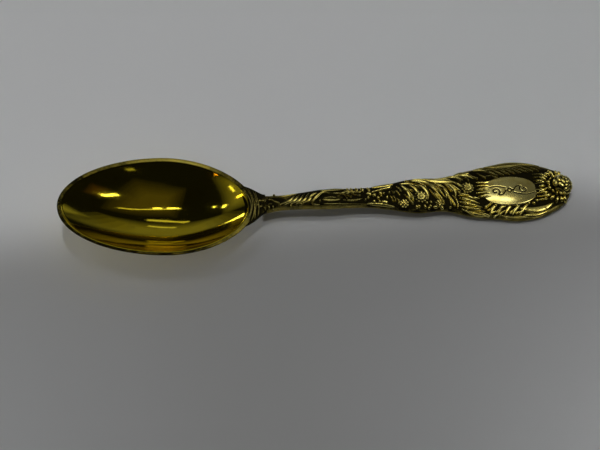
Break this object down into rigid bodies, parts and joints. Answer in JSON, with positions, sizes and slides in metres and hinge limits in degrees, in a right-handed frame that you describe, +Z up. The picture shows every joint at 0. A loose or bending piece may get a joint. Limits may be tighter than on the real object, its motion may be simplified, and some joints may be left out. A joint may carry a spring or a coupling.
{
  "type": "souvenir spoon",
  "caption": "Gilt teaspoon with a deep oval bowl and a tapering handle covered in raised chrysanthemum flowers and leaves, with a plain oval cartouche and a flower-button finial.",
  "frame": {"origin": "centre of the footprint on the surface that the spoon rests on, midway between the bowl's lip and the finial's end", "axes": "+X from the bowl's lip to the finial, +Z up out of the bowl, +Y completes a right-handed frame"},
  "size_m": [0.15, 0.0344, 0.0132],
  "materials": {
    "bowl_gilt": "mirror-polished gold wash",
    "handle_gilt": "polished pale gilt",
    "handle_ground": "gilt with dark patina in the recesses",
    "relief_gilt": "antiqued gilt, bright on the high places",
    "plate_gilt": "satin pale gilt"
  },
  "bodies": {
    "root": {"bowl": "bowl_gilt", "heel_drop": "handle_gilt", "heel_collar": "handle_gilt", "handle_core": "handle_ground", "stem_leaves": "relief_gilt", "sprig_buds": "relief_gilt", "swirl_leaves": "relief_gilt", "far_border_leaves": "relief_gilt", "near_border_leaves": "relief_gilt", "cartouche_plate": "plate_gilt", "flower_large": "relief_gilt", "flower_upper": "relief_gilt", "flower_small": "relief_gilt", "flower_side": "relief_gilt", "finial_petals": "relief_gilt", "finial_button": "relief_gilt"}
  },
  "joints": []
}
